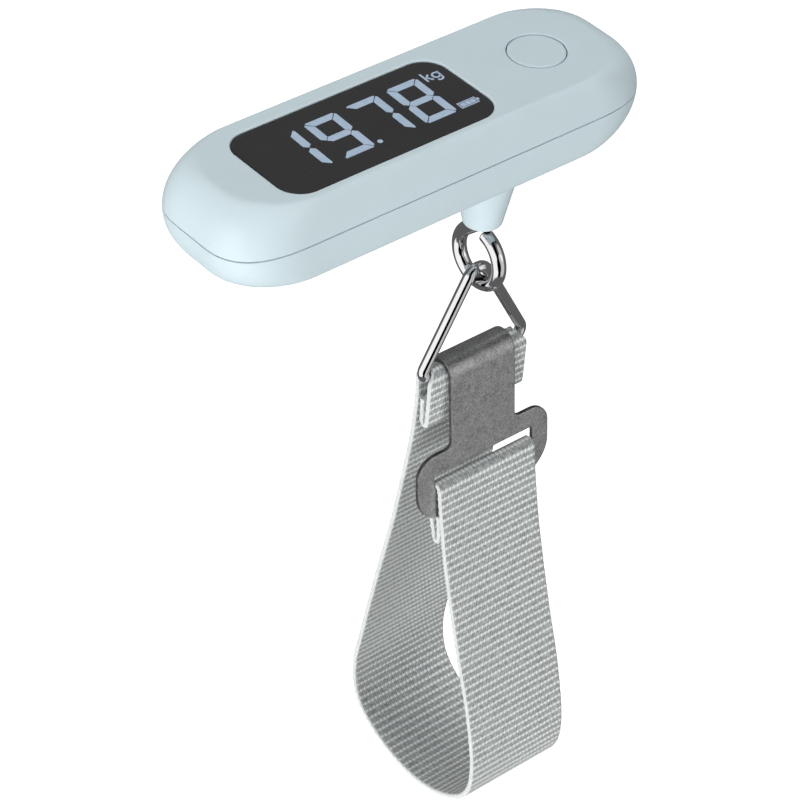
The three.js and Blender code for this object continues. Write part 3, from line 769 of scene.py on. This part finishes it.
def even_steps(line, step):
    """The line again in equal steps, slightly smoothed, with each point's distance along it."""
    size = np.concatenate([[0], np.cumsum(np.hypot(*np.diff(line, axis=0).T))])
    count = int(size[-1] / step)
    at = np.linspace(0, size[-1], count + 1)
    made = np.stack([np.interp(at, size, line[:, 0]), np.interp(at, size, line[:, 1])], axis=1)
    for _ in range(3):
        made[1:-1] = 0.25 * made[:-2] + 0.5 * made[1:-1] + 0.25 * made[2:]
    return made, at


def strap_section(half_width, phase):
    """Closed sections of the webbing, one for each place along it, as (x, off the middle line, u).

    phase counts ribs along the strap. A rib's grey band bulges, the white threads between two bands
    rise and fall across the strap, and the edges swell at every white row. u is millimetres across the
    flat webbing.
    """
    white = (0.5 + 0.5 * np.cos(2 * np.pi * phase)) ** 2
    band = np.sqrt(np.clip(np.sin(np.pi * (phase % 1)), 0, 1))
    parity = np.where(np.round(phase) % 2 == 0, 1.0, -1.0)
    columns = int(2 * STRAP_HALF_WIDTH / (BEAD_PITCH / 2)) // 2 * 2
    across = np.linspace(-1, 1, columns + 1)
    flip = np.where(np.arange(columns + 1) % 2 == 0, 1.0, -1.0)
    base = STRAP_THICKNESS / 2 - BAND_RELIEF
    beads = 0.05 + 0.07 * parity[:, None] * flip[None, :]
    lift = base + BAND_RELIEF * band[:, None] + white[:, None] * beads
    bulge = 0.24 + 0.12 * white
    lip = np.radians([50.0, 25.0, 0.0, -25.0, -50.0])
    face = half_width[:, None] * across[None, :]
    flat = np.broadcast_to(STRAP_HALF_WIDTH * across, face.shape)

    def edge(side, angle):
        x = side * (half_width + bulge * math.cos(angle))
        off = base * math.sin(angle) * (1 + 0.3 * white)
        return x, off, np.full_like(x, side * (STRAP_HALF_WIDTH + 0.9 * math.cos(angle)))

    right = [np.stack(part, axis=1) for part in zip(*[edge(1, angle) for angle in lip])]
    left = [np.stack(part, axis=1) for part in zip(*[edge(-1, angle) for angle in lip[::-1]])]
    upper = (face, lift, flat)
    under = (face[:, ::-1], -lift[:, ::-1], flat[:, ::-1])
    return [np.concatenate(parts, axis=1) for parts in zip(upper, right, under, left)]


def tube_mesh(name, points):
    """A closed mesh through points[row][place round the section], capped at both ends."""
    rows, ring = points.shape[:2]
    i, j = np.meshgrid(np.arange(rows - 1), np.arange(ring), indexing="ij")
    k = (j + 1) % ring
    quads = np.stack([i * ring + j, i * ring + k, (i + 1) * ring + k, (i + 1) * ring + j], axis=2)
    faces = quads.reshape(-1, 4).tolist()
    faces.append(list(range(ring))[::-1])
    faces.append([(rows - 1) * ring + n for n in range(ring)])
    mesh = bpy.data.meshes.new(name)
    mesh.from_pydata((points.reshape(-1, 3) * MM).tolist(), [], faces)
    return mesh


def strap():
    line, at = even_steps(strap_line(), RIB_PITCH / ROWS_PER_RIB)
    run = np.gradient(line, axis=0)
    run /= np.linalg.norm(run, axis=1)[:, None]
    out = np.stack([-run[:, 1], run[:, 0]], axis=1)
    # The wrap is squeezed between the legs of the link.
    height = np.clip((line[:, 1] - BAR_Z) / WRAP_RADIUS, 0, 1)
    half_width = STRAP_HALF_WIDTH - WRAP_SQUEEZE * height ** 1.3
    x, off, u = strap_section(half_width, at / RIB_PITCH)
    y = line[:, 0:1] + out[:, 0:1] * off
    z = line[:, 1:2] + out[:, 1:2] * off
    mesh = tube_mesh("strap_webbing", np.stack([x, y, z], axis=2))
    weave = mesh.attributes.new("weave", "FLOAT_VECTOR", "POINT")
    along = np.broadcast_to(at[:, None], u.shape)
    data = np.stack([u, along, np.zeros_like(u)], axis=2).reshape(-1).astype(np.float32)
    weave.data.foreach_set("vector", data)
    fixing = bmesh.new()
    fixing.from_mesh(mesh)
    bmesh.ops.recalc_face_normals(fixing, faces=fixing.faces)
    fixing.to_mesh(mesh)
    fixing.free()
    return add_piece("strap_webbing", mesh, 70), float(at[-1])


# ==== materials ==================================================================================
class Look:
    """A material with one Principled shader, and short ways to add nodes to it."""

    def __init__(self, name, colour, metallic=0.0, roughness=0.5, **extra):
        self.material = bpy.data.materials.new(name)
        self.material.use_nodes = True
        self.tree = self.material.node_tree
        self.shader = self.tree.nodes["Principled BSDF"]
        self.set("Base Color", (*colour, 1.0))
        self.set("Metallic", metallic)
        self.set("Roughness", roughness)
        for key, value in extra.items():
            self.set(key.replace("_", " "), value)
        self.material.diffuse_color = (*colour, 1.0)

    def set(self, socket, value):
        self.shader.inputs[socket].default_value = value

    def node(self, kind, **settings):
        made = self.tree.nodes.new(kind)
        for key, value in settings.items():
            setattr(made, key, value)
        return made

    def link(self, source, target):
        self.tree.links.new(source, target)

    def math(self, operation, a, b=None, clamp=False):
        made = self.node("ShaderNodeMath", operation=operation, use_clamp=clamp)
        for socket, value in zip(made.inputs, (a, b)):
            if value is None:
                continue
            if isinstance(value, (int, float)):
                socket.default_value = value
            else:
                self.link(value, socket)
        return made.outputs[0]

    def place(self, scale=(1, 1, 1)):
        coordinate = self.node("ShaderNodeTexCoord")
        mapping = self.node("ShaderNodeMapping")
        mapping.inputs["Scale"].default_value = scale
        self.link(coordinate.outputs["Object"], mapping.inputs["Vector"])
        return mapping.outputs["Vector"]

    def noise(self, scale, detail=4.0, stretch=(1, 1, 1), rough=0.55):
        made = self.node("ShaderNodeTexNoise")
        made.inputs["Scale"].default_value = scale
        made.inputs["Detail"].default_value = detail
        made.inputs["Roughness"].default_value = rough
        self.link(self.place(stretch), made.inputs["Vector"])
        return made.outputs["Fac"]

    def ramp(self, source, stops):
        made = self.node("ShaderNodeValToRGB")
        ramp = made.color_ramp
        while len(ramp.elements) < len(stops):
            ramp.elements.new(0.5)
        for element, (position, colour) in zip(ramp.elements, stops):
            element.position = position
            element.color = (*colour, 1.0)
        self.link(source, made.inputs["Fac"])
        return made.outputs["Color"]

    def span(self, source, low, high):
        made = self.node("ShaderNodeMapRange")
        made.inputs["To Min"].default_value = low
        made.inputs["To Max"].default_value = high
        self.link(source, made.inputs["Value"])
        return made.outputs["Result"]

    def mix(self, share, a, b):
        made = self.node("ShaderNodeMix", data_type="RGBA")
        for socket, value in ((made.inputs[0], share), (made.inputs[6], a), (made.inputs[7], b)):
            if isinstance(value, tuple):
                socket.default_value = (*value, 1.0)
            elif isinstance(value, (int, float)):
                socket.default_value = value
            else:
                self.link(value, socket)
        return made.outputs[2]

    def bump(self, height, strength, distance):
        made = self.node("ShaderNodeBump")
        made.inputs["Strength"].default_value = strength
        made.inputs["Distance"].default_value = distance
        self.link(height, made.inputs["Height"])
        self.link(made.outputs["Normal"], self.shader.inputs["Normal"])


def shade(colour, factor):
    return tuple(min(1.0, c * factor) for c in colour)


def grey(level):
    return (level, level, level)


def moulded(name, colour, roughness, **extra):
    """Moulded plastic with a fine eroded grain."""
    look = Look(name, colour, 0.0, roughness, **extra)
    cloud = look.noise(90.0, 3.0)
    look.link(look.ramp(cloud, [(0.3, shade(colour, 0.985)), (0.7, shade(colour, 1.015))]),
              look.shader.inputs["Base Color"])
    look.link(look.span(look.noise(600.0, 5.0), roughness - 0.05, roughness + 0.05),
              look.shader.inputs["Roughness"])
    look.bump(look.noise(9000.0, 3.0), 0.12, 0.00001)
    return look.material


def polished(name, colour, roughness, scratches):
    """Plated metal with faint polishing marks."""
    look = Look(name, colour, 1.0, roughness)
    mark = look.noise(420.0, 6.0, (1, 1, 0.12))
    look.link(look.span(mark, max(0.02, roughness - scratches), roughness + scratches),
              look.shader.inputs["Roughness"])
    look.link(look.ramp(look.noise(120.0, 4.0), [(0.35, shade(colour, 0.93)), (0.65, colour)]),
              look.shader.inputs["Base Color"])
    return look.material


def blasted_steel():
    """Bead-blasted plate, speckled all over with slow patches under the speckle."""
    look = Look("blasted_steel", grey(0.30), 0.82, 0.52)
    speck = look.noise(2600.0, 5.0, rough=0.7)
    patch = look.noise(420.0, 4.0)
    both = look.math("ADD", look.math("MULTIPLY", speck, 0.8), look.math("MULTIPLY", patch, 0.2))
    tone = look.ramp(both, [(0.40, grey(0.235)), (0.5, grey(0.40)), (0.60, (0.53, 0.53, 0.525))])
    look.link(tone, look.shader.inputs["Base Color"])
    look.link(look.span(speck, 0.30, 0.44), look.shader.inputs["Roughness"])
    look.bump(both, 0.5, 0.00006)
    return look.material


def plate_rim_painted_shade():
    """The plate's rim: a dark painted shade standing for the dark reflection along its edges."""
    look = Look("plate_rim_painted_shade", grey(0.10), 0.7, 0.45)
    tone = look.ramp(look.noise(700.0, 4.0), [(0.35, grey(0.07)), (0.65, grey(0.15))])
    look.link(tone, look.shader.inputs["Base Color"])
    return look.material


def webbing():
    """Ribbed webbing: grey bands, rows of white beads between them and white edges.

    The pattern follows the weave attribute, millimetres across and along the strap.
    """
    look = Look("webbing", (0.5, 0.52, 0.52), 0.0, 0.82, Sheen_Weight=0.25, Sheen_Roughness=0.5)
    attribute = look.node("ShaderNodeAttribute", attribute_name="weave")
    parts = look.node("ShaderNodeSeparateXYZ")
    look.link(attribute.outputs["Vector"], parts.inputs[0])
    u, s = parts.outputs[0], parts.outputs[1]
    fray = look.noise(2500.0, 3.0)
    waver = look.math("MULTIPLY", look.math("SUBTRACT", fray, 0.5), 0.35)
    rib = look.math("ADD", look.math("DIVIDE", s, RIB_PITCH), look.math("MULTIPLY", waver, 0.3))
    wave = look.math("COSINE", look.math("MULTIPLY", rib, 2 * math.pi))
    odd = look.math("MODULO", look.math("ROUND", look.math("DIVIDE", s, RIB_PITCH)), 2.0)
    turn = look.math("ADD", look.math("DIVIDE", u, BEAD_PITCH), look.math("MULTIPLY", odd, 0.5))
    bead = look.math("COSINE", look.math("MULTIPLY", turn, 2 * math.pi))
    swell = look.math("ADD", wave, look.math("MULTIPLY", bead, 0.28))
    row = look.math("MULTIPLY", look.math("SUBTRACT", swell, 0.05), 1.15, clamp=True)
    white = look.math("MULTIPLY", row, look.math("ADD", look.math("MULTIPLY", bead, 0.14), 0.86))
    twist = look.math("ADD", turn, look.math("MULTIPLY", waver, 0.25))
    thread = look.math("COSINE", look.math("MULTIPLY", twist, 4 * math.pi))
    streak = look.noise(1500.0, 5.0)
    tone = look.math("ADD", look.math("MULTIPLY", thread, 0.10), streak)
    shades = [(0.3, (0.20, 0.215, 0.213)), (0.5, (0.36, 0.38, 0.378)), (0.7, (0.53, 0.555, 0.55))]
    past_edge = look.math("SUBTRACT", look.math("ABSOLUTE", u), STRAP_HALF_WIDTH - 0.12)
    edge = look.math("MULTIPLY", past_edge, 3.2, clamp=True)
    colour = look.mix(white, look.ramp(tone, shades), (0.84, 0.87, 0.865))
    colour = look.mix(edge, colour, (0.70, 0.725, 0.72))
    look.link(colour, look.shader.inputs["Base Color"])
    relief = look.math("ADD", look.math("MULTIPLY", thread, 0.35), look.math("MULTIPLY", white, 0.6))
    relief = look.math("ADD", relief, look.math("MULTIPLY", fray, 0.7))
    look.bump(relief, 0.6, 0.00012)
    return look.material


def board_look():
    look = Look("circuit_board_green", (0.03, 0.16, 0.07), 0.0, 0.42)
    bricks = look.node("ShaderNodeTexBrick")
    bricks.inputs["Scale"].default_value = 260.0
    bricks.inputs["Mortar Size"].default_value = 0.03
    bricks.inputs["Color1"].default_value = (0.02, 0.12, 0.05, 1)
    bricks.inputs["Color2"].default_value = (0.03, 0.17, 0.07, 1)
    bricks.inputs["Mortar"].default_value = (0.10, 0.30, 0.14, 1)
    look.link(look.place(), bricks.inputs["Vector"])
    look.link(bricks.outputs["Color"], look.shader.inputs["Base Color"])
    look.bump(bricks.outputs["Fac"], 0.3, 0.00003)
    return look.material


def lit_segments():
    look = Look("lit_segments", (0.42, 0.49, 0.68), 0.0, 0.5)
    tint = look.ramp(look.noise(500.0, 3.0), [(0.3, (0.355, 0.46, 0.59)), (0.7, (0.41, 0.515, 0.645))])
    look.link(tint, look.shader.inputs["Base Color"])
    look.link(tint, look.shader.inputs["Emission Color"])
    look.set("Emission Strength", 0.10)
    return look.material


def smoked_window():
    look = Look("smoked_window", (0.036, 0.036, 0.037), 0.0, 0.28, Specular_IOR_Level=0.35)
    look.link(look.span(look.noise(300.0, 4.0), 0.24, 0.32), look.shader.inputs["Roughness"])
    tone = look.ramp(look.noise(60.0, 2.0), [(0.3, (0.034, 0.034, 0.035)), (0.7, (0.038, 0.038, 0.039))])
    look.link(tone, look.shader.inputs["Base Color"])
    return look.material


def make_looks():
    return {
        "case_plastic": moulded("case_plastic", MINT, 0.42, Specular_IOR_Level=0.4),
        "window_plastic": smoked_window(),
        "lcd_glass": moulded("lcd_glass", (0.25, 0.29, 0.42), 0.15),
        "light_panel": moulded("light_panel", (0.86, 0.88, 0.9), 0.4),
        "board": board_look(),
        "black_plastic": moulded("black_plastic", (0.022, 0.022, 0.024), 0.45),
        "dark_rubber": moulded("dark_rubber", (0.018, 0.018, 0.02), 0.75),
        "chrome": polished("chrome", (0.80, 0.80, 0.81), 0.05, 0.008),
        "satin_steel": blasted_steel(),
        "plate_rim_painted_shade": plate_rim_painted_shade(),
        "zinc_steel": polished("zinc_steel", (0.55, 0.57, 0.6), 0.32, 0.08),
        "aluminium": polished("aluminium", (0.7, 0.71, 0.73), 0.38, 0.08),
        "brass": polished("brass", (0.68, 0.47, 0.18), 0.3, 0.06),
        "gauge_foil": polished("gauge_foil", (0.62, 0.36, 0.14), 0.4, 0.08),
        "webbing": webbing(),
    }


def dress_cad_nodes(looks):
    """Every CAD node that stays visible gets its slot's procedural finish."""
    slot_of = {}
    for entry in frame["record"].get("materials", []):
        for node in entry.get("nodes", []):
            slot_of[node] = entry["slot"]
    for name, piece in frame["nodes"].items():
        held = [s.material.name.split(".")[0] for s in piece.material_slots if s.material]
        slot_name = slot_of.get(name) or next((h for h in held if h in looks), None)
        look = looks.get(slot_name) or looks["zinc_steel"]
        if not piece.material_slots:
            piece.data.materials.append(look)
        for held_slot in piece.material_slots:
            held_slot.material = look


# ==== studio =====================================================================================
def make_floor():
    bm = bmesh.new()
    bmesh.ops.create_grid(bm, x_segments=8, y_segments=8, size=12.0)
    mesh = bpy.data.meshes.new("floor")
    bm.to_mesh(mesh)
    bm.free()
    floor = bpy.data.objects.new("floor", mesh)
    floor.location = (0, 0, -FLOOR_DROP)
    bpy.context.scene.collection.objects.link(floor)
    look = Look("pale_floor", grey(0.9), 0.0, 0.9)
    tone = look.ramp(look.noise(2.0, 2.0), [(0.3, grey(0.98)), (0.7, grey(1.0))])
    look.link(tone, look.shader.inputs["Base Color"])
    look.link(tone, look.shader.inputs["Emission Color"])
    look.set("Emission Strength", 0.9)
    mesh.materials.append(look.material)
    floor.visible_glossy = False
    floor.visible_diffuse = False


def area_light(name, place, aim, size, power):
    """A soft lamp that lights the object and isn't mirrored by it."""
    data = bpy.data.lights.new(name, "AREA")
    data.shape = "SQUARE"
    data.size = size
    data.energy = power
    light = bpy.data.objects.new(name, data)
    light.location = place
    light.rotation_euler = (Vector(aim) - Vector(place)).to_track_quat("-Z", "Y").to_euler()
    light.visible_glossy = False
    bpy.context.scene.collection.objects.link(light)


class Sky:
    """The studio around the object, as soft pools of light on a dark sphere."""

    def __init__(self, name):
        self.world = bpy.data.worlds.new(name)
        self.world.use_nodes = True
        self.tree = self.world.node_tree
        self.tree.nodes.clear()
        coordinate = self.tree.nodes.new("ShaderNodeTexCoord")
        self.direction = coordinate.outputs["Generated"]

    def pool(self, towards, start, full, strength):
        """A round pool in that direction: nothing below cosine start, full strength above full."""
        dot = self.tree.nodes.new("ShaderNodeVectorMath")
        dot.operation = "DOT_PRODUCT"
        dot.inputs[1].default_value = Vector(towards).normalized()
        self.tree.links.new(self.direction, dot.inputs[0])
        soft = self.tree.nodes.new("ShaderNodeMapRange")
        soft.interpolation_type = "SMOOTHSTEP"
        soft.inputs["From Min"].default_value = start
        soft.inputs["From Max"].default_value = full
        soft.inputs["To Max"].default_value = strength
        self.tree.links.new(dot.outputs["Value"], soft.inputs["Value"])
        return soft.outputs["Result"]

    def sum(self, level, *parts):
        for part in parts:
            level = self.join("ADD", level, part)
        return level

    def join(self, operation, a, b):
        made = self.tree.nodes.new("ShaderNodeMath")
        made.operation = operation
        for socket, value in ((made.inputs[0], a), (made.inputs[1], b)):
            if isinstance(value, (int, float)):
                socket.default_value = value
            else:
                self.tree.links.new(value, socket)
        return made.outputs[0]

    def without(self, level, mask):
        """The level, dark where the mask is 1."""
        return self.join("MULTIPLY", level, self.join("SUBTRACT", 1.0, mask))

    def background(self, level):
        shader = self.tree.nodes.new("ShaderNodeBackground")
        if isinstance(level, (int, float)):
            shader.inputs["Strength"].default_value = level
        else:
            self.tree.links.new(level, shader.inputs["Strength"])
        return shader.outputs[0]


def make_world():
    """What is mirrored is a dim room: a wide white screen on the left, a paler one on the right, a soft
    one high on the right, an upright black gap between the wide screens and a black patch overhead.
    Everything else is lit by even white light.
    """
    sky = Sky("studio")
    left = sky.pool((-0.97, -0.05, -0.15), 0.72, 0.75, 1.3)
    right = sky.pool((0.105, -0.972, -0.209), 0.785, 0.815, 0.66)
    high = sky.pool((0.5, -0.77, 0.38), 0.86, 0.97, 0.75)
    above_floor = sky.pool((0.0, 0.0, 1.0), -0.72, -0.64, 1.0)
    screens = sky.join("MULTIPLY", sky.sum(ROOM_LEVEL, left, right, high), above_floor)
    floor_glow = sky.without(ROOM_LEVEL, above_floor)
    beside = sky.sum(0.0, sky.pool((0.843, -0.537, 0.0), 0.25, 0.30, 1.0),
                     sky.pool((-0.843, 0.537, 0.0), 0.22, 0.27, 1.0))
    ahead = sky.join("MULTIPLY", sky.pool((-0.537, -0.843, 0.0), 0.1, 0.3, 1.0), above_floor)
    slot = sky.without(ahead, beside)
    gap = sky.join("MAXIMUM", slot, sky.pool((-0.51, -0.83, -0.22), 0.90, 0.935, 1.0))
    level = sky.without(sky.sum(0.0, screens, floor_glow), gap)
    overhead = sky.pool((0.5, -0.2, 0.84), 0.91, 0.98, 0.9)
    mirrored = sky.background(sky.without(level, overhead))
    even = sky.background(SKY_LEVEL)
    path = sky.tree.nodes.new("ShaderNodeLightPath")
    mix = sky.tree.nodes.new("ShaderNodeMixShader")
    output = sky.tree.nodes.new("ShaderNodeOutputWorld")
    sky.tree.links.new(path.outputs["Is Glossy Ray"], mix.inputs[0])
    sky.tree.links.new(even, mix.inputs[1])
    sky.tree.links.new(mirrored, mix.inputs[2])
    sky.tree.links.new(mix.outputs[0], output.inputs["Surface"])
    bpy.context.scene.world = sky.world


def make_studio():
    make_floor()
    make_world()
    for name, place, size, power in LAMPS:
        area_light(name, place, (0.0, 0.0, -0.06), size, power)
    bpy.context.scene.view_settings.view_transform = "Standard"
    bpy.context.scene.view_settings.look = "None"


# ==== assembly ===================================================================================
def main():
    make_camera()
    looks = make_looks()
    dress_cad_nodes(looks)
    mint = looks["case_plastic"]
    settle(upper_shell(), "casing", ["upper_shell"], mint)
    settle(lower_shell(), "casing", ["lower_shell"], mint)
    settle(stem(), "casing", ["stem_sleeve"], mint)
    settle(display_window(), "casing", ["display_window"], looks["window_plastic"])
    segments = lit_segments()
    for piece in (display_digits(), battery_icon(), unit_sign()):
        settle(piece, "casing", [], segments)
    settle(power_button(), "button", ["power_button"], mint)
    settle(battery_cap(), "battery_cover", ["battery_cap"], mint)
    settle(eye_hook(), "hook", ["eye_hook"], looks["chrome"])
    settle(triangle_link(), "link", ["triangle_link"], looks["chrome"])
    plate = hook_plate()
    settle(plate, "strap_assembly", ["hook_plate"], looks["satin_steel"])
    # The sheet's rim faces get the dark painted shade material.
    plate.data.materials.append(looks["plate_rim_painted_shade"])
    band, length = strap()
    settle(band, "strap_assembly", ["strap"], looks["webbing"])
    make_studio()


main()
